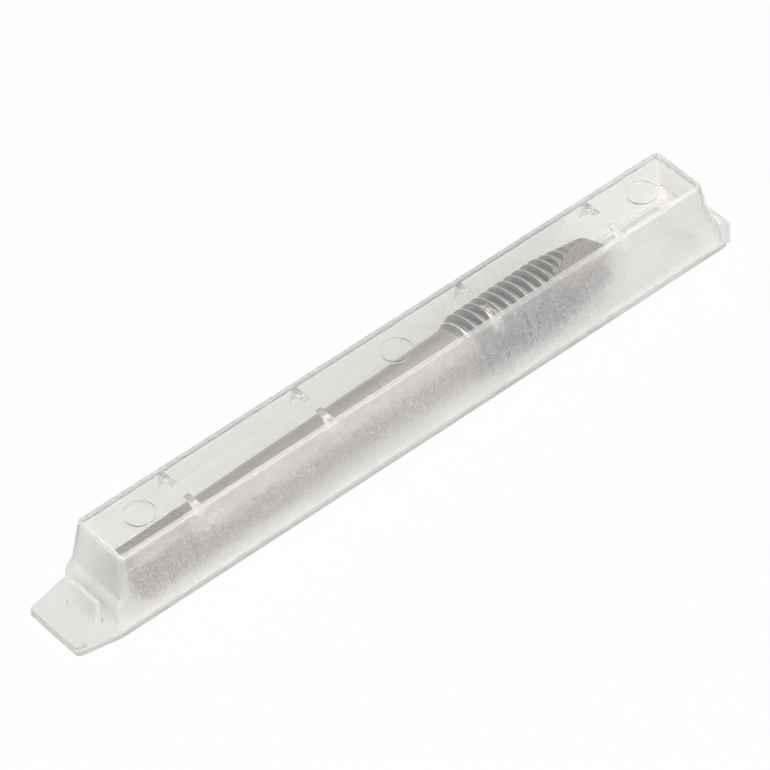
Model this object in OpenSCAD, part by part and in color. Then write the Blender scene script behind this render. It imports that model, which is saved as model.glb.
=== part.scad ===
// Thread tap in its storage case. Millimetres, Z up, X along the case from the finger tab to the hinge.
// The origin lies under the middle of the closed case, on the surface that it stands on.

/* [Lid] */
// Length of the flat top panel
top_len = 85; // [70:0.5:110]
// Width of the flat top panel
top_w = 8; // [7.7:0.1:12]
// Height of the top panel above the seam with the base
lid_h = 9.25; // [8.75:0.05:13]
// Thickness of the walls
wall = 0.6; // [0.4:0.05:0.75]
// Thickness of the top panel
top_t = 0.65; // [0.4:0.05:1.2]
// How far the long walls lean out for each millimetre down
side_flare = 0.14; // [0.13:0.01:0.3]
// How far the end walls lean out for each millimetre down
end_flare = 0.15; // [0.05:0.01:0.2]
// Height of the end ledge above the seam
ledge_h = 3.55; // [3:0.05:5]
// How far the end ledge reaches out
ledge_out = 0.9; // [0.6:0.05:1.4]
// How far the end ledge falls as it reaches out
ledge_drop = 1.1; // [0.6:0.05:1.4]
// Size of the bevel along the top edges
bevel = 0.25; // [0.1:0.05:0.6]
// Diameter of the three bare ring marks on the top panel
mark_d = 4; // [2:0.1:5]

/* [Gussets] */
// Thickness of each gusset
gusset_t = 0.8; // [0.5:0.1:1.4]
// Distance of the inner gussets from mid-length
gusset_inner = 12; // [8:0.5:18]
// Distance of the outer gussets from mid-length
gusset_outer = 30.9; // [24:0.1:33]
// Gap between two facing gussets at the top panel
gusset_gap = 1.5; // [0.8:0.1:3]

/* [Base] */
// Depth of the tray under the flange
tray_drop = 1.3; // [0.9:0.1:1.6]
// Thickness of the tray floor
floor_t = 0.7; // [0.5:0.05:1.2]
// Thickness of the flange
flange_t = 0.8; // [0.6:0.05:1.2]
// How far the flange stands out past the lid
flange_out = 0.2; // [0.1:0.05:1]
// Height of the rim that locates the lid
rim_h = 0.6; // [0.3:0.1:1]
// Gap between the rim and the lid
rim_gap = 0.25; // [0.15:0.05:0.5]

/* [Tab and latch] */
// Length of the finger tab past the lid
tab_len = 5.3; // [4.5:0.1:9]
// Width of the finger tab at its outer edge
tab_w = 8.8; // [6:0.1:10]
// Width of the raised grip at the outer edge
grip_w = 1.5; // [0.8:0.1:2]
// Height of the raised grip
grip_h = 0.45; // [0.2:0.05:0.8]
// Width of the latch hook
hook_w = 4.8; // [3:0.1:6.5]
// Height of the latch hook above the tab
hook_h = 3.1; // [2:0.1:4]
// Thickness of the latch hook at its foot
hook_t = 1; // [0.8:0.05:1.3]

/* [Hinge] */
// Height of the hinge strap
strap_h = 3.2; // [2.9:0.05:4.5]
// Thickness of the hinge strap
strap_t = 0.5; // [0.3:0.05:0.8]
// Width of the hinge strap
strap_w = 10.5; // [6:0.1:10.5]
// Gap between the lid's end wall and the strap
strap_gap = 0.55; // [0.5:0.05:1.5]

/* [Tap] */
// Overall length
tap_len = 72; // [60:0.5:80]
// Thread diameter
thread_d = 8; // [6:0.1:8]
// Thread pitch
pitch = 1.25; // [0.8:0.05:1.5]
// Length of the thread with its lead and point
thread_len = 24; // [19:0.5:30]
// Number of pitches in the tapered lead
lead_pitches = 5.5; // [3.5:0.5:6]
// Diameter where the lead meets the point
lead_end_d = 6.1; // [4.5:0.1:6.4]
// Shank diameter
shank_d = 6.3; // [4.5:0.1:6.3]
// Length of the neck between the ground shank and the thread
neck_len = 11; // [5:0.1:14]
// Square across flats
square_af = 5; // [3.4:0.1:5]
// Square length
square_len = 8; // [6:0.5:9]
// Distance from the lid's left end to the tap
tap_start = 2.7; // [1.5:0.1:4]
// Sideways lie of the square end, as a share of its room in the tray
tap_lie = -0.95; // [-1:0.05:1]
// Sideways lie of the thread, as a share of its room in the lid
thread_lie = 0.6; // [-1:0.05:1]
// Turn of the tap about its own axis, degrees
tap_roll = 95; // [0:5:355]
// Turn of the square against the gashes, degrees
square_turn = -30; // [-45:5:45]
// Number of gashes of the spiral point
gashes = 3; // [2:1:4]
// Angle of the gashes to the axis, degrees
point_angle = 15; // [12:1:20]
// Distance of each gash from the axis at the tip
core_r = 0.8; // [0.75:0.05:1.2]

/* [Hidden] */
$fn = 96;

// Fits and small allowances
seam = 0.05;
play = 0.15;
film = 0.1;
rest_gap = 0.05;
hollow_gap = 0.1;
cut = 1;

// Levels from the table up
flange_z = tray_drop;
seam_z = flange_z + flange_t;
lid_z = seam_z + seam;
lid_top = seam_z + lid_h;
ledge_z = seam_z + ledge_h;
ledge_low_z = ledge_z - ledge_drop;

// Lid outline in length and width
lower_flare = 0.08;
function end_upper(z) = end_flare * (lid_top - z);
ledge_x = end_upper(ledge_z);
lower_x = ledge_x + ledge_out;
function end_lower(z) = lower_x + lower_flare * (ledge_low_z - z);
end_x = end_lower(lid_z);
function end_slope(z) = lower_x - ledge_out * max(0, z - ledge_low_z) / ledge_drop;
function half_w(z) = top_w / 2 + side_flare * (lid_top - z);
side_t = wall * sqrt(1 + side_flare * side_flare);
bend = wall * tan(atan(ledge_drop / ledge_out) / 2);
mark_line = 0.22;
mark_depth = 0.12;
mark_inset = 5.85;

// Base outline
rim_t = 0.6;
flange_hw = half_w(lid_z) + flange_out;
rim_hw = half_w(lid_z + rim_h) - side_t - rim_gap;
rim_x = ledge_x - wall - rim_gap;
tab_x = -end_x - tab_len;
tab_round = 0.7;
tab_hw = tab_w / 2;
base_corner = 0.6;
across = 4 * flange_hw;

// Hinge: films lie on the flange's underside and on top of the lid's lug
strap_x = top_len + lower_x + strap_gap;
film_low_z = flange_z + film / 2;
film_high_z = film_low_z + strap_h;
lug_t = 0.6;
lug_inset = 0.5;
lug_hw = strap_w / 2 - lug_inset;
right_x = strap_x + film / 2 + strap_t;

// Latch hook
hook_gap = 0.35;
hook_in_x = -end_x - hook_gap;
hook_lean = 0.45;
nose_out = 0.2;
nose_h = 0.7;

// Tap, with the usual 60 degree thread: crest flat an eighth and root flat a quarter of the pitch
thread_r = thread_d / 2;
shank_r = shank_d / 2;
crest_flat = pitch / 8;
root_flat = pitch / 4;
flank_w = (pitch - crest_flat - root_flat) / 2;
half_angle = 30;
root_r = thread_r - flank_w / tan(half_angle);
thread_z = tap_len - thread_len;
shank_z = thread_z - neck_len;
lead_end_r = lead_end_d / 2;
point_z = tap_len - lead_end_r;
lead_z = point_z - lead_pitches * pitch;

// The tap lies on its square end and on its first full crest, so it points up a little
tap_pitch = atan((thread_r - shank_r) / (thread_z + pitch));
tap_foot_z = floor_t + rest_gap + shank_r / cos(tap_pitch);

// It lies askew: the square end between the tray's rims, the thread between the lid's long walls
rim_rise = max(0, tap_foot_z - seam_z - rim_h);
tap_room = rim_hw - rim_t - sqrt(shank_r * shank_r - rim_rise * rim_rise) - rest_gap;
tap_side = tap_lie * tap_room;
lead_axis_z = tap_foot_z + lead_z * sin(tap_pitch);
wall_hw = (half_w(lead_axis_z) - side_t) * cos(atan(side_flare));
thread_side = thread_lie * (wall_hw - thread_r - rest_gap);
tap_yaw = atan((thread_side - tap_side) / lead_z);

// The model is drawn from the lid's left end and then moved to the middle of its box
mid_x = (tab_x + right_x) / 2;

module along_y(w) {
    rotate([90, 0, 0])
        linear_extrude(w, center = true)
            children();
}

module along_x(x0, x1) {
    translate([x0, 0, 0])
        rotate([90, 0, 90])
            linear_extrude(x1 - x0)
                children();
}

// Case lid: a drafted shell with a ledge at each end

// Long profile, taken in by the wall or not; "low" is where it starts
module lid_profile(inset, top, bend_by, low) {
    left = [
        [-end_lower(low) + inset, low],
        [-lower_x + inset, ledge_low_z - bend_by],
        [-ledge_x + inset, ledge_z - bend_by],
        [-end_upper(top - bevel) + inset, top - bevel],
        [-end_upper(top) + inset + bevel, top]
    ];
    right = [for (i = [len(left) - 1:-1:0]) [top_len - left[i][0], left[i][1]]];
    polygon(concat(left, right));
}

module lid_section(inset, top, low) {
    right = [
        [half_w(low) - inset, low],
        [half_w(top - bevel) - inset, top - bevel],
        [half_w(top) - inset - bevel, top]
    ];
    left = [for (i = [len(right) - 1:-1:0]) [-right[i][0], right[i][1]]];
    polygon(concat(right, left));
}

module lid_solid(inset_x, inset_y, top, bend_by, low) {
    intersection() {
        along_y(across)
            lid_profile(inset_x, top, bend_by, low);
        along_x(-end_x - cut, top_len + end_x + cut)
            lid_section(inset_y, top, low);
    }
}

module ring_mark() {
    difference() {
        cylinder(h = cut, d = mark_d);
        cylinder(h = cut, d = mark_d - 2 * mark_line);
    }
}

module lid_shell() {
    difference() {
        lid_solid(0, 0, lid_top, 0, lid_z);
        lid_solid(wall, side_t, lid_top - top_t, bend, lid_z - cut);
        for (x = [mark_inset, top_len / 2, top_len - mark_inset])
            translate([x, 0, lid_top - mark_depth])
                ring_mark();
    }
}

// Pair of gussets with a round hollow that a tool can lie in
module gusset_pair() {
    hollow_r = thread_r + hollow_gap;
    inner_top = lid_top - top_t;
    hollow_z = inner_top - sqrt(hollow_r * hollow_r - gusset_gap * gusset_gap / 4);
    along_x(-gusset_t / 2, gusset_t / 2)
        difference() {
            lid_section(side_t / 2, lid_top - top_t / 2, hollow_z + hollow_gap);
            translate([0, hollow_z])
                circle(hollow_r);
        }
}

module hinge_lug() {
    z0 = film_high_z - lug_t;
    x0 = top_len + max(end_slope(z0), end_upper(z0)) - wall / 2;
    translate([x0, -lug_hw, z0])
        cube([strap_x - film / 2 - x0, 2 * lug_hw, lug_t]);
}

module case_lid() {
    color("#eef1f2")
        translate([-mid_x, 0, 0]) {
            lid_shell();
            for (x = [-gusset_outer, -gusset_inner, gusset_inner, gusset_outer])
                translate([top_len / 2 + x, 0, 0])
                    gusset_pair();
            hinge_lug();
        }
}

// Case base: a flange with a shallow tray, a rim for the lid and a finger tab

module flange_outline() {
    end = strap_x - film / 2;
    polygon([
        [-end_x, -flange_hw],
        [end - base_corner, -flange_hw],
        [end, -flange_hw + base_corner],
        [end, flange_hw - base_corner],
        [end - base_corner, flange_hw],
        [-end_x, flange_hw],
        [tab_x + tab_round, tab_hw],
        [tab_x, tab_hw - tab_round],
        [tab_x, -tab_hw + tab_round],
        [tab_x + tab_round, -tab_hw]
    ]);
}

module tray_box(inset, z0, z1) {
    translate([-rim_x + inset, -rim_hw + inset, z0])
        cube([top_len + 2 * rim_x - 2 * inset, 2 * rim_hw - 2 * inset, z1 - z0]);
}

module hook_window() {
    translate([hook_in_x - hook_t - play, -hook_w / 2 - play, flange_z - cut])
        cube([hook_t + 2 * play, hook_w + 2 * play, flange_t + 2 * cut]);
}

module case_base() {
    color("#e6eaec")
        translate([-mid_x, 0, 0])
            difference() {
                union() {
                    translate([0, 0, flange_z])
                        linear_extrude(flange_t)
                            flange_outline();
                    translate([0, 0, flange_z])
                        linear_extrude(flange_t + grip_h)
                            intersection() {
                                flange_outline();
                                translate([tab_x, -tab_hw])
                                    square([grip_w, tab_w]);
                            }
                    tray_box(0, 0, seam_z + rim_h);
                }
                tray_box(rim_t, floor_t, lid_top);
                hook_window();
            }
}

// Hinge strap: stands between two films that fold

module hinge_strap() {
    color("#eef1f2")
        translate([strap_x + film / 2 - mid_x, -strap_w / 2, film_low_z])
            cube([strap_t, strap_w, strap_h]);
}

// Latch hook: stands in a window of the tab and leans to the lid

module latch_hook() {
    foot_z = flange_z + film / 2;
    top_z = seam_z + hook_h;
    color("#f4f6f6")
        translate([hook_in_x - mid_x, 0, 0])
            along_y(hook_w)
                polygon([
                    [-hook_t, foot_z],
                    [0, foot_z],
                    [0, top_z - 2 * nose_h],
                    [nose_out, top_z - nose_h],
                    [0, top_z],
                    [-hook_t + hook_lean, top_z],
                    [-hook_t, seam_z]
                ]);
}

// Tap, drawn along Z from its square end

module shank_body() {
    chamfer = 0.4;
    ring_depth = 0.12;
    neck_r = root_r - rest_gap;
    rotate_extrude()
        polygon([
            [0, 0],
            [shank_r - chamfer, 0],
            [shank_r, chamfer],
            [shank_r, shank_z - ring_depth],
            [shank_r - ring_depth, shank_z],
            [shank_r - ring_depth / 2, shank_z + ring_depth],
            [neck_r, thread_z],
            [0, thread_z]
        ]);
}

// Cutter for one flat of the square, with a sloping end
module square_flat() {
    slope = 1.6;
    half = square_af / 2;
    along_y(2 * shank_d)
        polygon([
            [half, -cut],
            [shank_d, -cut],
            [shank_d, square_len + slope * (shank_d - half)],
            [half, square_len]
        ]);
}

// Thread as rows of points that follow the helix, four to a pitch, kept inside the lead and the point
sides = 40;
row_z = [0, crest_flat, crest_flat + flank_w, crest_flat + flank_w + root_flat];
row_r = [thread_r, thread_r, root_r, root_r];
per_turn = len(row_z);
hidden_turns = 1.6;
helix_z = thread_z - hidden_turns * pitch;
turns = floor((tap_len - helix_z - row_z[per_turn - 1]) / pitch);
rows = per_turn * turns;
runout = 0.5;
point_r = 0.1;

function run_r(z) = root_r - point_r + runout * max(0, z - thread_z);
function lead_r(z) = z < lead_z ? thread_r
    : thread_r - (thread_r - lead_end_r) * (z - lead_z) / (point_z - lead_z);
function tip_r(z) = max(point_r, tap_len - z);
function helix_row_z(j, a) = helix_z + pitch * (floor(j / per_turn) + a / 360) + row_z[j % per_turn];
function surface_r(j, z) = max(point_r, min(row_r[j % per_turn], run_r(z), lead_r(z), tip_r(z)));
function surface_point(j, i) = let(
    a = 360 * i / sides,
    z = helix_row_z(j, a),
    r = surface_r(j, z)
) [r * cos(a), r * sin(a), z];

module threaded_end() {
    points = concat(
        [for (j = [0:rows - 1]) for (i = [0:sides - 1]) surface_point(j, i)],
        [[0, 0, helix_z], [0, 0, tap_len]]
    );
    first = rows * sides;
    last = first + 1;
    function at(j, i) = i < sides ? j * sides + i : (j + per_turn) * sides;
    skin = [
        for (j = [0:rows - 2]) for (i = [0:sides - 1])
            if (i < sides - 1 || j + per_turn + 1 < rows)
                for (k = [0, 1])
                    k == 0 ? [at(j, i), at(j + 1, i + 1), at(j, i + 1)]
                        : [at(j, i), at(j + 1, i), at(j + 1, i + 1)]
    ];
    foot = concat(
        [for (i = [0:sides - 1]) at(0, i)],
        [for (j = [per_turn:-1:1]) at(j, 0)]
    );
    tip = concat(
        [for (i = [0:sides - 1]) at(rows - 1, i)],
        [for (j = [rows - 2:-1:rows - 1 - per_turn]) at(j, sides - 1)]
    );
    foot_fan = [for (k = [0:len(foot) - 1]) [first, foot[k], foot[(k + 1) % len(foot)]]];
    tip_fan = [for (k = [0:len(tip) - 1]) [last, tip[(k + 1) % len(tip)], tip[k]]];
    polyhedron(points, concat(skin, foot_fan, tip_fan), convexity = 8);
}

// Gash of the spiral point: a slanting flat that runs out of the thread, with a lip beside it
module gash() {
    lip_lean = 30;
    lip_side = 0.4;
    reach = (thread_r - core_r) / sin(point_angle) + pitch;
    translate([core_r, lip_side, tap_len])
        rotate([0, -point_angle, 0])
            translate([0, 0, -reach])
                linear_extrude(reach + thread_d)
                    polygon([
                        [0, 0],
                        [0, -thread_d],
                        [thread_d, -thread_d],
                        [thread_d, thread_d * tan(lip_lean)]
                    ]);
}

module tap() {
    color("#8d8a84")
        translate([tap_start - mid_x, tap_side, tap_foot_z])
            rotate([0, 0, tap_yaw])
                rotate([0, 90 - tap_pitch, 0])
                    rotate([0, 0, tap_roll])
                        difference() {
                            union() {
                                shank_body();
                                threaded_end();
                            }
                            for (q = [0:3])
                                rotate([0, 0, square_turn + 90 * q])
                                    square_flat();
                            for (g = [0:gashes - 1])
                                rotate([0, 0, 360 / gashes * g])
                                    gash();
                        }
}

case_base();
case_lid();
hinge_strap();
latch_hook();
tap();
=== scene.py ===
"""Looks of a spiral-point tap in its translucent storage case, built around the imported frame."""

import math

import bmesh
import bpy
from mathutils import Matrix, Vector


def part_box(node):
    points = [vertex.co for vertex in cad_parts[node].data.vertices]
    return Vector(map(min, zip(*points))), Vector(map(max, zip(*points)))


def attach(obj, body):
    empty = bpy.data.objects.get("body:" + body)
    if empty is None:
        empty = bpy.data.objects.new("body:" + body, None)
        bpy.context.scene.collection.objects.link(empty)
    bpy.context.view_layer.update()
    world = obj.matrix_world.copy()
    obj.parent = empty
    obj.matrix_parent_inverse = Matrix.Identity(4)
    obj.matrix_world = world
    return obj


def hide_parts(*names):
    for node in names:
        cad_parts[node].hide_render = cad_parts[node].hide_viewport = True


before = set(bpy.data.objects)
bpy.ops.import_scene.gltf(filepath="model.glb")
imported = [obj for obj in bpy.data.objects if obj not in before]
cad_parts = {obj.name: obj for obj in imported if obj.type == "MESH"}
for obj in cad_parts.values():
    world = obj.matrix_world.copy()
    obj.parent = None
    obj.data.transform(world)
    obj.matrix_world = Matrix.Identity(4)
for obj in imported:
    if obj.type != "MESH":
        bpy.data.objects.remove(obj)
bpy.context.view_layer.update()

bl_info = {
    "name": "Tap in storage case",
    "version": (1, 0, 0),
    "blender": (4, 5, 0),
    "location": "3D View > Sidebar > Tap Case",
    "description": "Builds a thread tap in a hinged, translucent plastic case",
    "category": "Add Mesh",
}

MM = 0.001
SEAM_GAP = 0.05 * MM
HOOK_FOOT = 1.0 * MM
PLASTIC_IOR = 1.49
LID_LOW, LID_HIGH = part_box("case_lid")
BASE_LOW, BASE_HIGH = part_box("case_base")
STRAP_LOW, STRAP_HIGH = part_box("hinge_strap")
HOOK_LOW, HOOK_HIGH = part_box("latch_hook")
BASE_FLANGE_TOP = LID_LOW.z - SEAM_GAP


# Colours and small helpers


def linear(code):
    """Linear RGBA of an sRGB hex colour such as "F2F1EE"."""
    values = [int(code[i:i + 2], 16) / 255 for i in (0, 2, 4)]
    curved = [v / 12.92 if v <= 0.04045 else ((v + 0.055) / 1.055) ** 2.4 for v in values]
    return (*curved, 1.0)


def length(name, description, default):
    """A length property, given in millimetres."""
    return bpy.props.FloatProperty(
        name=name, description=description, default=default * MM, min=0.0,
        unit="LENGTH", subtype="DISTANCE", precision=5)


def colour(name, description, code):
    """A colour property, given as sRGB hex."""
    return bpy.props.FloatVectorProperty(
        name=name, description=description, default=linear(code)[:3], size=3,
        subtype="COLOR", min=0.0, max=1.0)


def add_node(tree, kind, inputs=None, **settings):
    """Adds a node, sets its properties, and fills or links its inputs."""
    made = tree.nodes.new(kind)
    for key, value in settings.items():
        setattr(made, key, value)
    for key, value in (inputs or {}).items():
        if isinstance(value, bpy.types.NodeSocket):
            tree.links.new(value, made.inputs[key])
        else:
            made.inputs[key].default_value = value
    return made


# Sizes and colours that a user would change


class CaseSizes(bpy.types.PropertyGroup):
    """Sizes of the plastic case"""

    top_len: length("Top length", "Length of the lid's flat top", 85)
    top_w: length("Top width", "Width of the lid's flat top", 8)
    wall: length("Wall", "Thickness of the lid's walls", 0.6)
    top_t: length("Top thickness", "Thickness of the top panel", 0.65)
    ledge_h: length("Ledge height", "Height of the end ledge above the seam", 3.55)
    ledge_out: length("Ledge reach", "How far the end ledge stands out", 0.9)
    ledge_drop: length("Ledge fall", "How far the end ledge falls as it stands out", 1.1)
    edge_r: length("Top edge radius", "Rounding of the lid's top edges", 0.2)
    corner_r: length("Corner radius", "Rounding of the lid's upright corners", 0.85)
    gusset_t: length("Gusset thickness", "Thickness of the gussets inside the lid", 0.8)
    gusset_inner: length("Inner gussets", "Distance of the inner gussets from mid-length", 12)
    gusset_outer: length("Outer gussets", "Distance of the outer gussets from mid-length", 30.9)
    gusset_gap: length("Gusset gap", "Gap between two facing gussets at the top", 1.5)
    mark_d: length("Ring mark", "Diameter of the bare ring marks on the top", 4)
    mark_line: length("Ring line", "Width of a ring mark's groove", 0.22)
    flange_t: length("Flange thickness", "Thickness of the base's flange", 0.8)
    floor_t: length("Floor thickness", "Thickness of the tray's floor", 0.7)
    rim_t: length("Rim thickness", "Thickness of the rim and the tray's walls", 0.6)
    tab_r: length("Tab corner", "Rounding of the finger tab's corners", 0.7)
    grip_w: length("Grip width", "Width of the raised grip on the tab", 1.5)
    plastic_r: length("Plastic edge", "Rounding of the base's small edges", 0.15)
    side_flare: bpy.props.FloatProperty(
        name="Side flare", default=0.14,
        description="How far the long walls lean out for each unit down")
    end_flare: bpy.props.FloatProperty(
        name="End flare", default=0.15,
        description="How far the end walls lean out for each unit down")
    lower_flare: bpy.props.FloatProperty(
        name="Skirt flare", default=0.08,
        description="How far the end walls lean out below the ledge")


class TapSizes(bpy.types.PropertyGroup):
    """Sizes of the tap"""

    tap_len: length("Length", "Overall length", 72)
    thread_d: length("Thread", "Thread diameter", 8)
    pitch: length("Pitch", "Thread pitch", 1.25)
    thread_len: length("Thread length", "Length of the thread with its lead and point", 24)
    neck_len: length("Neck length", "Length of the neck behind the thread", 11)
    lead_end_d: length("Lead end", "Diameter where the lead meets the point", 6.1)
    shank_d: length("Shank", "Shank diameter", 6.3)
    square_af: length("Square", "Square across flats", 5)
    square_len: length("Square length", "Length of the square", 8)
    core_r: length("Core", "Distance of each gash from the axis at the tip", 0.8)
    tap_side: bpy.props.FloatProperty(
        name="Side", description="Sideways place of the tap's square end", default=-0.7466 * MM,
        unit="LENGTH", subtype="DISTANCE", precision=5)
    tap_start: length("Start", "Distance of the tap from the left end of the lid's top", 2.7)
    lead_pitches: bpy.props.FloatProperty(
        name="Lead", description="Number of pitches in the tapered lead", default=5.5)
    gashes: bpy.props.IntProperty(
        name="Gashes", description="Number of gashes of the spiral point", default=3, min=1)
    point_angle: bpy.props.FloatProperty(
        name="Point angle", description="Angle of the gashes to the axis",
        default=math.radians(15), unit="ROTATION", subtype="ANGLE")
    roll: bpy.props.FloatProperty(
        name="Roll", description="Turn of the tap about its own axis",
        default=math.radians(95), unit="ROTATION", subtype="ANGLE")
    square_turn: bpy.props.FloatProperty(
        name="Square turn", description="Turn of the square against the gashes",
        default=math.radians(-30), unit="ROTATION", subtype="ANGLE")
    yaw: bpy.props.FloatProperty(
        name="Yaw", description="Turn of the tap in plan",
        default=math.radians(0.7975), unit="ROTATION", subtype="ANGLE")


class Finishes(bpy.types.PropertyGroup):
    """Colours of the materials"""

    plastic: colour("Plastic", "Tint of the natural polypropylene", "FEFDFB")
    thick_plastic: colour("Thick plastic", "Tint of the polypropylene where it is thick", "D9D8D6")
    # Painted light: a lighter tint than the base's, so that the hook's and hinge's faces that lie in
    # shade still read bright
    lightened_plastic: colour("Thin plastic", "Tint of the polypropylene in hook and hinge", "F3F2F1")
    # Painted light: the crests' lighter steel stands in for the highlight on their edges, the flanks'
    # darker steel for the shade in the grooves
    crest: colour("Crests", "Steel on the thread's crests, bright from grinding", "D6D3D0")
    flank: colour("Flanks", "Steel in the thread's grooves, dulled by oil", "8E8D8E")
    steel: colour("Steel", "Ground high-speed steel", "ABA7A4")
    floor: colour("Floor", "The pale floor under the case", "D2D2D2")


# Mesh helpers


def arc(cx, cy, radius, start, end, steps):
    """Points on an arc, angles in degrees."""
    angles = [math.radians(start + (end - start) * i / steps) for i in range(steps + 1)]
    return [(cx + radius * math.cos(a), cy + radius * math.sin(a)) for a in angles]


def circle(cx, cy, radius, steps):
    """Points all the way round a circle."""
    return arc(cx, cy, radius, 0, 360 * (steps - 1) / steps, steps - 1)


def rectangle(x0, x1, y0, y1):
    """Corners of a rectangle, anticlockwise."""
    return [(x0, y0), (x1, y0), (x1, y1), (x0, y1)]


def filleted(points, radii, steps=5, closed=True):
    """Outline through the points with each corner rounded by its radius."""
    count = len(points)
    out = []
    for i, point in enumerate(points):
        corner = Vector(point)
        radius = radii[i] if isinstance(radii, (list, tuple)) else radii
        if radius == 0 or (not closed and i in (0, count - 1)):
            out.append(tuple(corner))
            continue
        back = (Vector(points[i - 1]) - corner).normalized()
        ahead = (Vector(points[(i + 1) % count]) - corner).normalized()
        half = back.angle(ahead) / 2
        reach = radius / math.tan(half)
        centre = corner + (back + ahead).normalized() * (radius / math.sin(half))
        first = corner + back * reach - centre
        last = corner + ahead * reach - centre
        turn = first.angle_signed(last)
        for k in range(steps + 1):
            out.append(tuple(centre + Matrix.Rotation(-turn * k / steps, 2) @ first))
    return out


def rounded_loop(x0, x1, half, radius, z, steps=6):
    """Rectangle with round corners at height z, anticlockwise from above."""
    corners = (
        (x1 - radius, half - radius, 0),
        (x0 + radius, half - radius, 90),
        (x0 + radius, radius - half, 180),
        (x1 - radius, radius - half, 270),
    )
    return [(*p, z) for cx, cy, a in corners for p in arc(cx, cy, radius, a, a + 90, steps)]


def loft(loops):
    """Closed skin over loops of equal length, capped at both ends."""
    skin = bmesh.new()
    rings = [[skin.verts.new(p) for p in loop] for loop in loops]
    for low, high in zip(rings, rings[1:]):
        for i in range(len(low)):
            j = (i + 1) % len(low)
            skin.faces.new((low[i], low[j], high[j], high[i]))
    skin.faces.new(rings[0][::-1])
    skin.faces.new(rings[-1])
    bmesh.ops.recalc_face_normals(skin, faces=skin.faces)
    return skin


def finished(skin, name):
    """Object made from a bmesh, linked to the scene."""
    mesh = bpy.data.meshes.new(name)
    skin.to_mesh(mesh)
    skin.free()
    made = bpy.data.objects.new(name, mesh)
    bpy.context.scene.collection.objects.link(made)
    return made


def extruded(outline, axis, low, high):
    """Prism of a flat outline. The outline's two coordinates fill the axes other than "axis"."""
    place = {
        "X": lambda p, t: (t, p[0], p[1]),
        "Y": lambda p, t: (p[0], t, p[1]),
        "Z": lambda p, t: (p[0], p[1], t),
    }[axis]
    return loft([[place(p, t) for p in outline] for t in (low, high)])


def round_edges(skin, radius, sharpest=math.radians(30), steps=3):
    """Rounds every edge that turns more than the given angle, and welds points that meet."""
    weld = 0.001 * MM
    edges = [e for e in skin.edges if e.is_manifold and e.calc_face_angle() > sharpest]
    bmesh.ops.bevel(
        skin, geom=edges, offset=radius, offset_type="OFFSET", segments=steps,
        profile=0.5, affect="EDGES", clamp_overlap=True)
    bmesh.ops.remove_doubles(skin, verts=skin.verts, dist=weld)
    return skin


def applied(made):
    """Turns the object's modifiers into mesh."""
    graph = bpy.context.evaluated_depsgraph_get()
    result = bpy.data.meshes.new_from_object(made.evaluated_get(graph))
    made.modifiers.clear()
    made.data = result


def combined(target, others, operation):
    """Joins or cuts the target with the other objects, and removes those."""
    for other in others:
        step = target.modifiers.new(operation, "BOOLEAN")
        step.operation = operation
        step.solver = "EXACT"
        step.material_mode = "TRANSFER"
        step.object = other
    applied(target)
    for other in others:
        bpy.data.objects.remove(other)
    return target


def smoothed(made, angle=math.radians(35)):
    """Smooth shading with edges kept sharp above the angle."""
    made.data.shade_smooth()
    made.data.set_sharp_from_angle(angle=angle)
    step = made.modifiers.new("flat faces first", "WEIGHTED_NORMAL")
    step.keep_sharp = True
    applied(made)
    return made


# Materials


def lamp_clear(tree, shader):
    """Lets rays from lamps through, so that light reaches what lies inside the case."""
    path = add_node(tree, "ShaderNodeLightPath")
    clear = add_node(tree, "ShaderNodeBsdfTransparent", {"Color": linear("FDFDFD")})
    mix = add_node(tree, "ShaderNodeMixShader", {
        0: path.outputs["Is Shadow Ray"], 1: shader.outputs[0], 2: clear.outputs[0]})
    add_node(tree, "ShaderNodeOutputMaterial", {"Surface": mix.outputs[0]})


def new_material(name):
    """Empty node material."""
    made = bpy.data.materials.new(name)
    made.use_nodes = True
    made.node_tree.nodes.clear()
    return made


def polished_polypropylene(name, tint, clear):
    """Polypropylene from a polished mould: clear with a faint wave, or whiter along a thick edge."""
    wave_size = 9 * MM
    made = new_material(name)
    tree = made.node_tree
    place = add_node(tree, "ShaderNodeTexCoord")
    wave = add_node(tree, "ShaderNodeTexNoise", {
        "Vector": place.outputs["Object"], "Scale": 1 / wave_size, "Detail": 1.0})
    bump = add_node(tree, "ShaderNodeBump", {
        "Height": wave.outputs["Fac"], "Strength": 0.15, "Distance": 0.05 * MM})
    shader = add_node(tree, "ShaderNodeBsdfPrincipled", {
        "Base Color": (*tint, 1.0), "Roughness": 0.03, "IOR": PLASTIC_IOR,
        "Transmission Weight": clear, "Normal": bump.outputs["Normal"]})
    lamp_clear(tree, shader)
    return made


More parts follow.
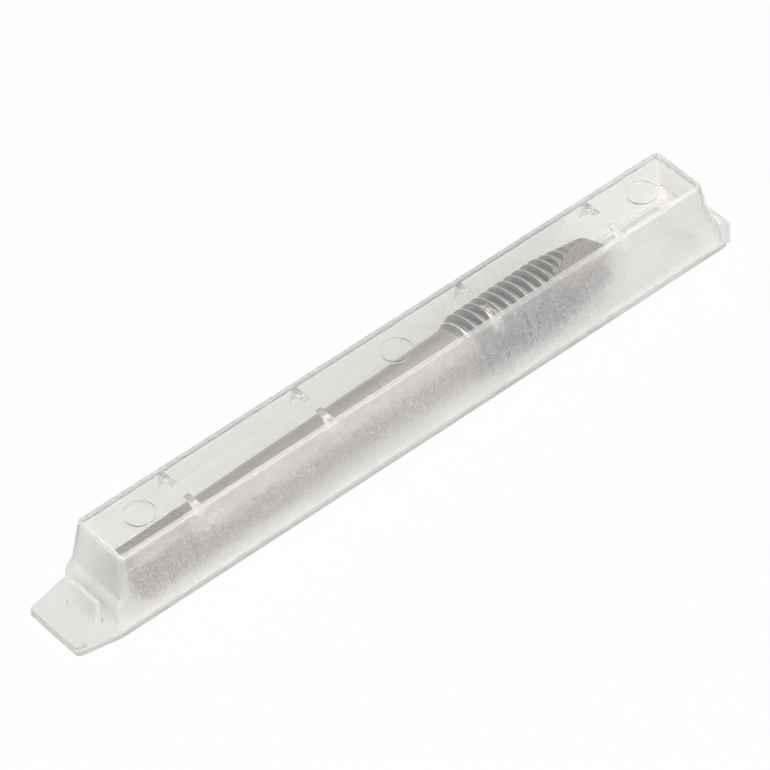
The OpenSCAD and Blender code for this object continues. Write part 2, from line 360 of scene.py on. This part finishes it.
def frosted_polypropylene(tint):
    """Polypropylene from a spark-eroded mould: a sandy grain that blurs what lies behind."""
    # The real grain, about 0.04 mm, is too fine to show, so it is drawn coarser
    grain_size = 0.15 * MM
    dull_share = 0.84
    made = new_material("polypropylene_spark_eroded_mould")
    tree = made.node_tree
    place = add_node(tree, "ShaderNodeTexCoord")
    grain = add_node(tree, "ShaderNodeTexNoise", {
        "Vector": place.outputs["Object"], "Scale": 1 / grain_size, "Detail": 1.0, "Roughness": 0.6})
    pits = add_node(tree, "ShaderNodeMapRange", {
        "Value": grain.outputs["Fac"], "From Min": 0.46, "From Max": 0.6})
    clear = add_node(tree, "ShaderNodeMapRange", {
        "Value": pits.outputs[0], "To Min": 1.0, "To Max": 0.58})
    dull = tuple(dull_share * v for v in tint)
    tone = add_node(tree, "ShaderNodeMix", {
        "Factor": pits.outputs[0], "A": (*dull, 1.0), "B": (*tint, 1.0)}, data_type="RGBA")
    bump = add_node(tree, "ShaderNodeBump", {
        "Height": grain.outputs["Fac"], "Strength": 0.1, "Distance": 0.005 * MM})
    shader = add_node(tree, "ShaderNodeBsdfPrincipled", {
        "Base Color": tone.outputs["Result"], "Roughness": 0.5, "IOR": PLASTIC_IOR,
        "Transmission Weight": clear.outputs[0], "Normal": bump.outputs["Normal"]})
    lamp_clear(tree, shader)
    return made


def milky_polypropylene(name, tint):
    """Moulded polypropylene that light scatters in: milky, with a sandy grain as on the walls."""
    # As on the walls, the real grain is too fine to show
    grain_size = 0.12 * MM
    made = new_material(name)
    tree = made.node_tree
    place = add_node(tree, "ShaderNodeTexCoord")
    grain = add_node(tree, "ShaderNodeTexNoise", {
        "Vector": place.outputs["Object"], "Scale": 1 / grain_size, "Detail": 1.0})
    bump = add_node(tree, "ShaderNodeBump", {
        "Height": grain.outputs["Fac"], "Strength": 0.3, "Distance": 0.02 * MM})
    shader = add_node(tree, "ShaderNodeBsdfPrincipled", {
        "Base Color": (*tint, 1.0), "Roughness": 0.38, "IOR": PLASTIC_IOR,
        "Transmission Weight": 0.7, "Normal": bump.outputs["Normal"]})
    lamp_clear(tree, shader)
    return made


def ground_steel(name, tint, stretch, roughness):
    """High-speed steel from a grinding wheel: parallel lines draw the highlights out across them."""
    # Real grinding lines, about 0.02 mm apart, are too fine to show, so they are drawn coarser
    line_size = 0.12 * MM
    dark_share = 0.9
    made = new_material(name)
    tree = made.node_tree
    place = add_node(tree, "ShaderNodeTexCoord")
    turned = add_node(tree, "ShaderNodeMapping", {
        "Vector": place.outputs["Object"], "Scale": stretch})
    lines = add_node(tree, "ShaderNodeTexNoise", {
        "Vector": turned.outputs[0], "Scale": 1 / line_size, "Detail": 3.0})
    shade = add_node(tree, "ShaderNodeMapRange", {
        "Value": lines.outputs["Fac"], "From Min": 0.3, "From Max": 0.7,
        "To Min": roughness - 0.03, "To Max": roughness + 0.04})
    dark = tuple(dark_share * v for v in tint)
    tone = add_node(tree, "ShaderNodeMix", {
        "Factor": lines.outputs["Fac"], "A": (*dark, 1.0), "B": (*tint, 1.0)}, data_type="RGBA")
    bump = add_node(tree, "ShaderNodeBump", {
        "Height": lines.outputs["Fac"], "Strength": 0.1, "Distance": 0.01 * MM})
    shader = add_node(tree, "ShaderNodeBsdfPrincipled", {
        "Base Color": tone.outputs["Result"], "Roughness": shade.outputs[0], "Metallic": 1.0,
        "Normal": bump.outputs["Normal"]})
    add_node(tree, "ShaderNodeOutputMaterial", {"Surface": shader.outputs[0]})
    return made


made_plastics = []
CLEAR, EDGE, FROSTED, THICK, LIGHTENED = range(5)


def plastics():
    """The case's finishes, made once, in the order of the names above."""
    finishes = bpy.context.scene.tap_case_finishes
    if not made_plastics:
        made_plastics.extend((
            polished_polypropylene("polypropylene_polished_mould", finishes.plastic, 0.97),
            polished_polypropylene("polypropylene_polished_edge", finishes.plastic, 0.72),
            frosted_polypropylene(finishes.plastic),
            milky_polypropylene("polypropylene_thick_moulding", finishes.thick_plastic),
            # The lighter tint paints light onto the hook and hinge, whose faces lie in shade
            milky_polypropylene("polypropylene_lightened_moulding", finishes.lightened_plastic)))
    return made_plastics


def dress_milky(made, finish):
    """Gives a case piece one of the milky finishes."""
    made.data.materials.clear()
    made.data.materials.append(plastics()[finish])


def dress_lid(made, form):
    """Clear top and insides, frosted outsides and gussets, and a whiter border round the top."""
    made.data.materials.clear()
    for material in plastics()[CLEAR:FROSTED + 1]:
        made.data.materials.append(material)
    sizes = form.sizes
    border_above = form.top - sizes.edge_r
    facing_up = 0.2
    facing_end = 0.9999
    for face in made.data.polygons:
        ahead = face.center + sizes.wall * face.normal
        gusset_side = abs(face.normal.x) > facing_end
        if face.center.z > border_above and face.normal.z > facing_up:
            face.material_index = CLEAR if form.over_hollow(face.center) else EDGE
        elif form.over_hollow(ahead) and not gusset_side:
            face.material_index = CLEAR
        else:
            face.material_index = FROSTED


# Lid


class LidForm:
    """Outline of the lid as functions of height, worked out from the case's sizes and the frame."""

    def __init__(self, sizes):
        self.sizes = sizes
        self.low = LID_LOW.z
        self.top = LID_HIGH.z
        self.ledge_z = BASE_FLANGE_TOP + sizes.ledge_h
        self.ledge_low = self.ledge_z - sizes.ledge_drop
        self.ledge_x = sizes.end_flare * (self.top - self.ledge_z)
        self.lower_x = self.ledge_x + sizes.ledge_out
        self.foot_x = self.lower_x + sizes.lower_flare * (self.ledge_low - self.low)
        self.left = LID_LOW.x + self.foot_x
        self.right = self.left + sizes.top_len

    def half_w(self, z):
        """Half of the lid's width at a height."""
        return self.sizes.top_w / 2 + self.sizes.side_flare * (self.top - z)

    def over_hollow(self, place):
        """Whether a point lies within the lid's walls, seen from above."""
        wall = self.sizes.wall
        reach = self.lower_x
        if place.z > self.ledge_z:
            reach = self.sizes.end_flare * (self.top - place.z)
        along = self.left - reach + wall < place.x < self.right + reach - wall
        return along and abs(place.y) < self.half_w(place.z) - wall and place.z > self.low

    def end_profile(self, inset, top, low):
        """Reach of the end wall past the top's end, with heights, from the foot up."""
        sizes = self.sizes
        ledge_r = 0.3 * MM
        fall = inset * math.tan(math.atan(sizes.ledge_drop / sizes.ledge_out) / 2)
        foot = self.lower_x + sizes.lower_flare * (self.ledge_low - low)
        upper = sizes.end_flare * (self.top - top)
        points = [
            (foot - inset, low),
            (self.lower_x - inset, self.ledge_low - fall),
            (self.ledge_x - inset, self.ledge_z - fall),
            (upper - inset, top),
        ]
        return filleted(points, ledge_r, steps=4, closed=False)

    def loops(self, inset, top, low, corner, edge, border=0.0):
        """Loops of one skin of the lid, from its foot to its rounded top edge and the border."""
        edge_steps = 4
        side = inset * math.sqrt(1 + self.sizes.side_flare ** 2)
        made = []
        for reach, z in self.end_profile(inset, top - edge, low):
            half = self.half_w(z) - side
            made.append(rounded_loop(self.left - reach, self.right + reach, half, corner, z))
        half = self.half_w(top - edge) - side
        turns = [math.radians(90 * k / edge_steps) for k in range(1, edge_steps + 1)]
        drawn = [(edge * (1 - math.cos(a)), top - edge + edge * math.sin(a)) for a in turns]
        if border:
            drawn.append((edge + border, top))
        for draw_in, z in drawn:
            x0 = self.left - reach + draw_in
            x1 = self.right + reach - draw_in
            made.append(rounded_loop(x0, x1, half - draw_in, corner - draw_in, z))
        return made


def gusset(form, sizes, tap_sizes, x, side):
    """One gusset: a plate between wall and top panel, hollowed by the tool's round."""
    hollow_gap = 0.1 * MM
    hollow_r = tap_sizes.thread_d / 2 + hollow_gap
    ceiling = form.top - sizes.top_t
    centre_z = ceiling - math.sqrt(hollow_r ** 2 - sizes.gusset_gap ** 2 / 4)
    low_z = centre_z + hollow_gap
    first = math.degrees(math.asin(hollow_gap / hollow_r))
    last = math.degrees(math.acos(sizes.gusset_gap / 2 / hollow_r))
    inner = arc(0, centre_z, hollow_r, first, last, 16)
    mid_wall = sizes.wall / 2
    mid_top = form.top - sizes.top_t / 2
    outer = [
        (sizes.gusset_gap / 2, mid_top),
        (form.half_w(mid_top) - mid_wall - sizes.edge_r, mid_top),
        (form.half_w(low_z) - mid_wall, low_z),
    ]
    outline = [(side * y, z) for y, z in inner + outer]
    return extruded(outline, "X", x - sizes.gusset_t / 2, x + sizes.gusset_t / 2)


def ring_cutter(x, top, diameter, line, depth):
    """Tube that cuts a ring groove into the top."""
    steps = 72
    outer = diameter / 2
    inner = outer - line
    section = (
        (outer, top - depth), (outer, top + depth),
        (inner, top + depth), (inner, top - depth))
    tube = bmesh.new()
    rings = [[tube.verts.new((*p, z)) for p in circle(x, 0, r, steps)] for r, z in section]
    for low, high in zip(rings, rings[1:] + rings[:1]):
        for i in range(steps):
            j = (i + 1) % steps
            tube.faces.new((low[i], low[j], high[j], high[i]))
    bmesh.ops.recalc_face_normals(tube, faces=tube.faces)
    return tube


class TAPCASE_OT_lid(bpy.types.Operator):
    """Lid: a drafted shell with ledges, gussets and bare ring marks"""

    bl_idname = "tapcase.lid"
    bl_label = "Lid"

    def execute(self, context):
        sizes = context.scene.tap_case_sizes
        form = LidForm(sizes)
        inner_r = 0.25 * MM
        ceiling = form.top - sizes.top_t
        inner = form.loops(sizes.wall, ceiling, form.low, sizes.corner_r - inner_r, inner_r)
        border = sizes.wall - sizes.edge_r
        outer = form.loops(0.0, form.top, form.low, sizes.corner_r, sizes.edge_r, border)
        lid = finished(loft(inner[::-1] + outer), "lid_shell")
        middle = (form.left + form.right) / 2
        places = [s * d for s in (-1, 1) for d in (sizes.gusset_inner, sizes.gusset_outer)]
        added = []
        for place in places:
            for side in (-1, 1):
                plate = gusset(form, sizes, context.scene.tap_case_tap, middle + place, side)
                added.append(finished(plate, "gusset"))
        lug_inset = 0.5 * MM
        lug_t = 0.6 * MM
        lug_half = STRAP_HIGH.y - lug_inset
        lug_root = form.right + form.lower_x - sizes.wall / 2
        lug_side = rectangle(lug_root, LID_HIGH.x, STRAP_HIGH.z - lug_t, STRAP_HIGH.z)
        added.append(finished(extruded(lug_side, "Y", -lug_half, lug_half), "lug"))
        combined(lid, added, "UNION")
        mark_inset = 5.85 * MM
        mark_depth = 0.15 * MM
        marks = []
        for x in (form.left + mark_inset, middle, form.right - mark_inset):
            tube = ring_cutter(x, form.top, sizes.mark_d, sizes.mark_line, mark_depth)
            marks.append(finished(tube, "mark"))
        combined(lid, marks, "DIFFERENCE")
        dress_lid(lid, form)
        smoothed(lid)
        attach(lid, "lid")
        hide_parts("case_lid")
        return {"FINISHED"}


# Base


class TAPCASE_OT_base(bpy.types.Operator):
    """Base: a flange with a shallow tray, a locating rim and a finger tab"""

    bl_idname = "tapcase.base"
    bl_label = "Base"

    def execute(self, context):
        sizes = context.scene.tap_case_sizes
        form = LidForm(sizes)
        half = BASE_HIGH.y
        left = form.left - form.foot_x
        tab_half = 4.4 * MM
        shoulder_r = 1.2 * MM
        corner = 0.6 * MM
        outline = filleted(
            [(left, -half), (BASE_HIGH.x, -half), (BASE_HIGH.x, half), (left, half),
             (BASE_LOW.x, tab_half), (BASE_LOW.x, -tab_half)],
            [shoulder_r, corner, corner, shoulder_r, sizes.tab_r, sizes.tab_r])
        flange_low = BASE_FLANGE_TOP - sizes.flange_t
        plate = extruded(outline, "Z", flange_low, BASE_FLANGE_TOP)
        base = finished(round_edges(plate, sizes.plastic_r), "base_tray")

        rim_gap = 0.25 * MM
        side = sizes.wall * math.sqrt(1 + sizes.side_flare ** 2)
        rim_half = form.half_w(BASE_HIGH.z + SEAM_GAP) - side - rim_gap
        rim_reach = form.ledge_x - sizes.wall - rim_gap
        rim_left = form.left - rim_reach
        rim_right = form.right + rim_reach
        outer = [
            rounded_loop(rim_left, rim_right, rim_half, corner, z)
            for z in (BASE_LOW.z, BASE_HIGH.z)]
        tray = finished(round_edges(loft(outer), sizes.plastic_r), "tray")
        t = sizes.rim_t
        hollow_r = 0.3 * MM
        inner = [
            rounded_loop(rim_left + t, rim_right - t, rim_half - t, hollow_r, z)
            for z in (BASE_LOW.z + sizes.floor_t, form.top)]
        hollow = finished(loft(inner), "hollow")

        grip_inset = 0.05 * MM
        grip_h = 0.45 * MM
        grip_sink = 0.2 * MM
        grip_lean = 0.4 * MM
        grip_corner = 0.35 * MM
        grip_edge = 0.2 * MM
        grip_left = BASE_LOW.x + grip_inset
        grip_right = BASE_LOW.x + sizes.grip_w
        outline = filleted(
            [(grip_left, -tab_half + grip_lean), (grip_right, -tab_half),
             (grip_right, tab_half), (grip_left, tab_half - grip_lean)], grip_corner)
        bar = extruded(outline, "Z", flange_low + grip_sink, BASE_FLANGE_TOP + grip_h)
        grip = finished(round_edges(bar, grip_edge), "grip")

        play = 0.2 * MM
        past = MM
        opening = rectangle(
            HOOK_LOW.x - play, HOOK_LOW.x + HOOK_FOOT + play, flange_low - past, BASE_FLANGE_TOP + past)
        window = finished(extruded(opening, "Y", HOOK_LOW.y - play, HOOK_HIGH.y + play), "window")
        combined(base, [tray, grip], "UNION")
        combined(base, [hollow, window], "DIFFERENCE")
        dress_milky(base, THICK)
        smoothed(base)
        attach(base, "base")
        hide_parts("case_base")
        return {"FINISHED"}


# Hinge and latch


class TAPCASE_OT_hinge(bpy.types.Operator):
    """Hinge: an upright strap with a thin film at its foot and at its head"""

    bl_idname = "tapcase.hinge"
    bl_label = "Hinge"

    def execute(self, context):
        sizes = context.scene.tap_case_sizes
        strap_r = 0.15 * MM
        outline = rectangle(STRAP_LOW.x, STRAP_HIGH.x, STRAP_LOW.z, STRAP_HIGH.z)
        strip = extruded(outline, "Y", STRAP_LOW.y, STRAP_HIGH.y)
        strap = finished(round_edges(strip, strap_r), "strap")
        dress_milky(strap, LIGHTENED)
        smoothed(strap)
        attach(strap, "strap")
        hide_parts("hinge_strap")
        film_r = 0.07 * MM
        film_sides = 12
        film_low = STRAP_LOW.y + sizes.wall
        film_high = STRAP_HIGH.y - sizes.wall
        axis_x = (STRAP_LOW.x + LID_HIGH.x) / 2
        for name, z in (("film_foot", STRAP_LOW.z), ("film_head", STRAP_HIGH.z)):
            section = circle(axis_x, z, film_r, film_sides)
            film = finished(extruded(section, "Y", film_low, film_high), name)
            dress_milky(film, LIGHTENED)
            smoothed(film)
            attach(film, "strap")
        return {"FINISHED"}


class TAPCASE_OT_hook(bpy.types.Operator):
    """Latch hook: a tongue on the finger tab that leans to the lid"""

    bl_idname = "tapcase.hook"
    bl_label = "Latch hook"

    def execute(self, context):
        lean = 0.45 * MM
        nose_h = 0.7 * MM
        nose_r = 0.15 * MM
        bend_r = 0.2 * MM
        heel_r = 0.4 * MM
        edge_r = 0.25 * MM
        inside = HOOK_LOW.x + HOOK_FOOT
        top = HOOK_HIGH.z
        outline = filleted(
            [(HOOK_LOW.x, HOOK_LOW.z), (inside, HOOK_LOW.z), (inside, top - 2 * nose_h),
             (HOOK_HIGH.x, top - nose_h), (inside, top), (HOOK_LOW.x + lean, top),
             (HOOK_LOW.x, BASE_FLANGE_TOP)],
            [0, 0, bend_r, nose_r, bend_r, bend_r, heel_r])
        tongue = extruded(outline, "Y", HOOK_LOW.y, HOOK_HIGH.y)
        hook = finished(round_edges(tongue, edge_r), "hook")
        # Painted light: the hook takes the lighter tint, as its faces lie in shade
        dress_milky(hook, LIGHTENED)
        smoothed(hook)
        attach(hook, "hook")
        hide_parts("latch_hook")
        return {"FINISHED"}


# Tap


class TapForm:
    """Radii of the tap along its axis, worked out from its sizes."""

    def __init__(self, sizes):
        self.sizes = sizes
        self.thread_r = sizes.thread_d / 2
        self.shank_r = sizes.shank_d / 2
        flank_angle = math.radians(30)
        self.crest = sizes.pitch / 8
        self.root = sizes.pitch / 4
        self.flank = (sizes.pitch - self.crest - self.root) / 2
        self.root_r = self.thread_r - self.flank / math.tan(flank_angle)
        self.thread_z = sizes.tap_len - sizes.thread_len
        self.shank_z = self.thread_z - sizes.neck_len
        self.lead_r = sizes.lead_end_d / 2
        self.point_z = sizes.tap_len - self.lead_r
        self.lead_z = self.point_z - sizes.lead_pitches * sizes.pitch
        self.tilt = math.atan((self.thread_r - self.shank_r) / (self.thread_z + sizes.pitch))

    def limit(self, z):
        """Largest radius at a height: run-out, lead and point."""
        run_in = 0.1 * MM
        run_slope = 0.5
        blunt = 0.03 * MM
        run = self.root_r - run_in + run_slope * max(0.0, z - self.thread_z)
        lead = self.thread_r
        if z > self.lead_z:
            share = (z - self.lead_z) / (self.point_z - self.lead_z)
            lead = self.thread_r - (self.thread_r - self.lead_r) * share
        return min(run, lead, self.sizes.tap_len + blunt - z)


def threaded_end(form):
    """Thread: rows of points along the helix, joined turn to turn. Crests take a lighter steel as
    painted highlight, flanks and roots a darker steel as painted shade.
    """
    sizes = form.sizes
    sides = 120
    soft = 0.03 * MM
    buried_turns = 1.6
    # Rows on the crests take the lighter steel, a painted highlight; the other rows take the darker
    # steel, painted shade
    highlit_crest_rows = 3
    mid_r = (form.thread_r + form.root_r) / 2
    rows = (
        (0.0, form.thread_r - soft),
        (form.crest * 0.25, form.thread_r),
        (form.crest * 0.75, form.thread_r),
        (form.crest, form.thread_r - soft),
        (form.crest + form.flank * 0.5, mid_r),
        (form.crest + form.flank, form.root_r),
        (form.crest + form.flank + form.root, form.root_r),
        (form.crest + form.flank * 1.5 + form.root, mid_r),
    )
    start = form.thread_z - buried_turns * sizes.pitch
    turns = int((sizes.tap_len - start - rows[-1][0]) / sizes.pitch)
    per_turn = len(rows)
    count = per_turn * turns
    skin = bmesh.new()
    grid = []
    for j in range(count):
        rise, radius = rows[j % per_turn]
        line = []
        for i in range(sides):
            a = 2 * math.pi * i / sides
            z = start + sizes.pitch * (j // per_turn + i / sides) + rise
            r = min(radius, form.limit(z))
            line.append(skin.verts.new((r * math.cos(a), r * math.sin(a), z)))
        grid.append(line)

    def at(j, i):
        """Point of a row. Past the row's end, the helix goes on in the next turn."""
        return grid[j][i] if i < sides else grid[j + per_turn][0]

    for j in range(count - 1):
        for i in range(sides):
            if i < sides - 1 or j + per_turn + 1 < count:
                face = skin.faces.new((at(j, i), at(j, i + 1), at(j + 1, i + 1), at(j + 1, i)))
                face.material_index = int(j % per_turn < highlit_crest_rows)
    foot_tip = skin.verts.new((0, 0, start))
    point = skin.verts.new((0, 0, sizes.tap_len))
    foot = [at(0, i) for i in range(sides)] + [at(j, 0) for j in range(per_turn, 0, -1)]
    last = count - 1
    tip = [at(last, i) for i in range(sides)]
    tip += [at(j, sides - 1) for j in range(last - 1, last - per_turn - 1, -1)]
    for k in range(len(foot)):
        skin.faces.new((foot_tip, foot[(k + 1) % len(foot)], foot[k]))
    for k in range(len(tip)):
        skin.faces.new((point, tip[k], tip[(k + 1) % len(tip)]))
    bmesh.ops.recalc_face_normals(skin, faces=skin.faces)
    return skin


def shank(form):
    """Shank with a chamfered end, a ring line and a neck that meets the thread."""
    steps = 128
    chamfer = 0.4 * MM
    shoulder = 0.1 * MM
    neck_gap = 0.05 * MM
    ring = 0.12 * MM
    r = form.shank_r
    z_ring = form.shank_z
    profile = [
        (r - chamfer, 0.0),
        (r - shoulder, chamfer * 0.75),
        (r, chamfer * 1.2),
        (r, z_ring - 2 * ring),
        (r - ring * 0.7, z_ring - ring),
        (r - ring, z_ring),
        (r - ring * 0.7, z_ring + ring),
        (r - ring / 3, z_ring + 2 * ring),
        (form.root_r - neck_gap, form.thread_z),
    ]
    return loft([[(*p, z) for p in circle(0, 0, q, steps)] for q, z in profile])


def square_cutter(sizes):
    """Block that leaves one flat of the square, with a sloping end."""
    slope = 1.6
    half = sizes.square_af / 2
    reach = sizes.shank_d
    outline = [
        (half, -MM),
        (reach, -MM),
        (reach, sizes.square_len + slope * (reach - half)),
        (half, sizes.square_len),
    ]
    return extruded(outline, "Y", -reach, reach)


def gash_cutter(form):
    """Wedge of one gash: a slanting flat with a lip beside it."""
    sizes = form.sizes
    lip_lean = math.radians(30)
    lip_side = 0.4 * MM
    wide = sizes.thread_d
    reach = (form.thread_r - sizes.core_r) / math.sin(sizes.point_angle) + sizes.pitch
    outline = [(0, 0), (0, -wide), (wide, -wide), (wide, wide * math.tan(lip_lean))]
    wedge = extruded(outline, "Z", -reach, wide)
    lean = Matrix.Rotation(-sizes.point_angle, 4, "Y")
    place = Matrix.Translation((sizes.core_r, lip_side, sizes.tap_len)) @ lean
    bmesh.ops.transform(wedge, matrix=place, verts=wedge.verts)
    return wedge


class TAPCASE_OT_tap(bpy.types.Operator):
    """Tap: square, shank, thread and spiral point, ground from one bar"""

    bl_idname = "tapcase.tap"
    bl_label = "Tap"

    def execute(self, context):
        sizes = context.scene.tap_case_tap
        finishes = context.scene.tap_case_finishes
        form = TapForm(sizes)
        around = (0.04, 0.04, 1.0)
        across = (0.02, 1.0, 0.02)
        crease = math.radians(25)
        # The thread in two tones: lighter crests as painted highlight, darker flanks and roots as
        # painted shade
        round_steel = ground_steel("high_speed_steel_cylindrical_ground", finishes.steel, around, 0.3)
        shaded_flank_steel = ground_steel("high_speed_steel_thread_painted_shade", finishes.flank, around, 0.32)
        highlit_crest_steel = ground_steel("high_speed_steel_crest_painted_highlight", finishes.crest, around, 0.25)
        flat_steel = ground_steel("high_speed_steel_surface_ground", finishes.steel, across, 0.26)
        tap = finished(threaded_end(form), "tap_tool")
        tap.data.materials.append(shaded_flank_steel)
        tap.data.materials.append(highlit_crest_steel)
        body = finished(shank(form), "shank")
        body.data.materials.append(round_steel)
        combined(tap, [body], "UNION")
        cutters = []
        for q in range(4):
            flat = square_cutter(sizes)
            turn = Matrix.Rotation(sizes.square_turn + math.pi / 2 * q, 4, "Z")
            bmesh.ops.transform(flat, matrix=turn, verts=flat.verts)
            cutters.append(finished(flat, "flat"))
        for g in range(sizes.gashes):
            wedge = gash_cutter(form)
            turn = Matrix.Rotation(2 * math.pi / sizes.gashes * g, 4, "Z")
            bmesh.ops.transform(wedge, matrix=turn, verts=wedge.verts)
            cutters.append(finished(wedge, "gash"))
        for made in cutters:
            made.data.materials.append(flat_steel)
        combined(tap, cutters, "DIFFERENCE")
        lid = LidForm(context.scene.tap_case_sizes)
        floor_top = BASE_LOW.z + context.scene.tap_case_sizes.floor_t
        rest_gap = 0.05 * MM
        foot_z = floor_top + rest_gap + form.shank_r / math.cos(form.tilt)
        place = Matrix.Translation((lid.left + sizes.tap_start, sizes.tap_side, foot_z))
        turn = Matrix.Rotation(sizes.yaw, 4, "Z") @ Matrix.Rotation(math.pi / 2 - form.tilt, 4, "Y")
        tap.matrix_world = place @ turn @ Matrix.Rotation(sizes.roll, 4, "Z")
        smoothed(tap, crease)
        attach(tap, "tool")
        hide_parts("tap")
        return {"FINISHED"}


# Stage


def floor_material(tint):
    """Matt white board: white to the eye and through the plastic, with a soft trace of shadow."""
    white_share = 0.95
    made = new_material("matt_white_board")
    tree = made.node_tree
    path = add_node(tree, "ShaderNodeLightPath")
    through = add_node(tree, "ShaderNodeMath", {
        0: path.outputs["Is Transmission Ray"], 1: white_share}, operation="MULTIPLY")
    share = add_node(tree, "ShaderNodeMath", {
        0: path.outputs["Is Camera Ray"], 1: white_share, 2: through.outputs[0]},
        operation="MULTIPLY_ADD")
    board = add_node(tree, "ShaderNodeBsdfDiffuse", {"Color": (*tint, 1.0)})
    white = add_node(tree, "ShaderNodeEmission", {"Color": (1, 1, 1, 1), "Strength": 1.0})
    mix = add_node(tree, "ShaderNodeMixShader", {
        0: share.outputs[0], 1: board.outputs[0], 2: white.outputs[0]})
    add_node(tree, "ShaderNodeOutputMaterial", {"Surface": mix.outputs[0]})
    return made


def studio_world():
    """White to the eye. Through the plastic it is a pale room, dimmer at its walls than overhead."""
    room_light = 0.4
    wall_level = 0.45
    overhead_level = 1.15
    world = bpy.data.worlds.new("studio")
    bpy.context.scene.world = world
    world.use_nodes = True
    tree = world.node_tree
    tree.nodes.clear()
    path = add_node(tree, "ShaderNodeLightPath")
    place = add_node(tree, "ShaderNodeTexCoord")
    height = add_node(tree, "ShaderNodeSeparateXYZ", {"Vector": place.outputs["Generated"]})
    room = add_node(tree, "ShaderNodeMapRange", {
        "Value": height.outputs["Z"], "From Min": 0.1, "From Max": 0.9,
        "To Min": wall_level, "To Max": overhead_level})
    dim = add_node(tree, "ShaderNodeMapRange", {
        "Value": path.outputs["Is Transmission Ray"], "To Min": room_light, "To Max": room.outputs[0]})
    level = add_node(tree, "ShaderNodeMapRange", {
        "Value": path.outputs["Is Camera Ray"], "To Min": dim.outputs[0], "To Max": 1.0})
    back = add_node(tree, "ShaderNodeBackground", {"Color": (1, 1, 1, 1), "Strength": level.outputs[0]})
    add_node(tree, "ShaderNodeOutputWorld", {"Surface": back.outputs[0]})


def softbox(name, place, size, power):
    """Square area lamp that faces the object."""
    data = bpy.data.lights.new(name, "AREA")
    data.size = size
    data.energy = power
    made = bpy.data.objects.new(name, data)
    made.location = place
    made.rotation_euler = (-Vector(place)).to_track_quat("-Z", "Y").to_euler()
    bpy.context.scene.collection.objects.link(made)


class TAPCASE_OT_stage(bpy.types.Operator):
    """Stage: pale floor, a soft lamp and the camera at the photograph's angle"""

    bl_idname = "tapcase.stage"
    bl_label = "Stage"

    def execute(self, context):
        scene = context.scene
        scene.view_settings.view_transform = "Standard"
        half = 3.0
        board = bmesh.new()
        corners = rectangle(-half, half, -half, half)
        board.faces.new([board.verts.new((x, y, 0.0)) for x, y in corners])
        floor = finished(board, "floor")
        floor.data.materials.append(floor_material(scene.tap_case_finishes.floor))
        studio_world()
        lamp_place = (-0.15, -0.36, 0.68)
        lamp_size = 1.1
        lamp_watts = 9.5
        softbox("front_softbox", lamp_place, lamp_size, lamp_watts)
        self.add_camera(scene)
        return {"FINISHED"}

    def add_camera(self, scene):
        """Long lens from the left front, as the photograph's edges converge."""
        azimuth = math.radians(-36.595)
        elevation = math.radians(45.719)
        roll = math.radians(-4.693)
        lens_angle = math.radians(6.872)
        distance = 718.885 * MM
        target = Vector((0.736, 0.587, 6.3)) * MM
        flat = math.cos(elevation)
        view = Vector((flat * math.sin(azimuth), -flat * math.cos(azimuth), math.sin(elevation)))
        right = Vector((math.cos(azimuth), math.sin(azimuth), 0.0))
        up = view.cross(right)
        turned_right = math.cos(roll) * right + math.sin(roll) * up
        turned_up = math.cos(roll) * up - math.sin(roll) * right
        data = bpy.data.cameras.new("camera")
        data.angle = lens_angle
        camera = bpy.data.objects.new("camera", data)
        scene.collection.objects.link(camera)
        axes = Matrix((turned_right, turned_up, view)).transposed()
        camera.matrix_world = Matrix.Translation(target + view * distance) @ axes.to_4x4()
        scene.camera = camera


# Panel and registration


class TAPCASE_PT_panel(bpy.types.Panel):
    """Sidebar panel with the sizes and one button for each piece"""

    bl_idname = "TAPCASE_PT_panel"
    bl_label = "Tap in Storage Case"
    bl_space_type = "VIEW_3D"
    bl_region_type = "UI"
    bl_category = "Tap Case"

    def draw(self, context):
        layout = self.layout
        scene = context.scene
        for group in (scene.tap_case_sizes, scene.tap_case_tap, scene.tap_case_finishes):
            box = layout.box()
            for key in group.bl_rna.properties.keys():
                if key not in ("rna_type", "name"):
                    box.prop(group, key)
        for operator in PIECES:
            layout.operator(operator.bl_idname)


PIECES = (
    TAPCASE_OT_lid,
    TAPCASE_OT_base,
    TAPCASE_OT_hinge,
    TAPCASE_OT_hook,
    TAPCASE_OT_tap,
    TAPCASE_OT_stage,
)
CLASSES = (CaseSizes, TapSizes, Finishes, *PIECES, TAPCASE_PT_panel)


def register():
    for made in CLASSES:
        bpy.utils.register_class(made)
    bpy.types.Scene.tap_case_sizes = bpy.props.PointerProperty(type=CaseSizes)
    bpy.types.Scene.tap_case_tap = bpy.props.PointerProperty(type=TapSizes)
    bpy.types.Scene.tap_case_finishes = bpy.props.PointerProperty(type=Finishes)


def unregister():
    del bpy.types.Scene.tap_case_finishes
    del bpy.types.Scene.tap_case_tap
    del bpy.types.Scene.tap_case_sizes
    for made in reversed(CLASSES):
        bpy.utils.unregister_class(made)


def main():
    register()
    for operator in PIECES:
        group, name = operator.bl_idname.split(".")
        getattr(getattr(bpy.ops, group), name)()


if __name__ == "__main__":
    main()
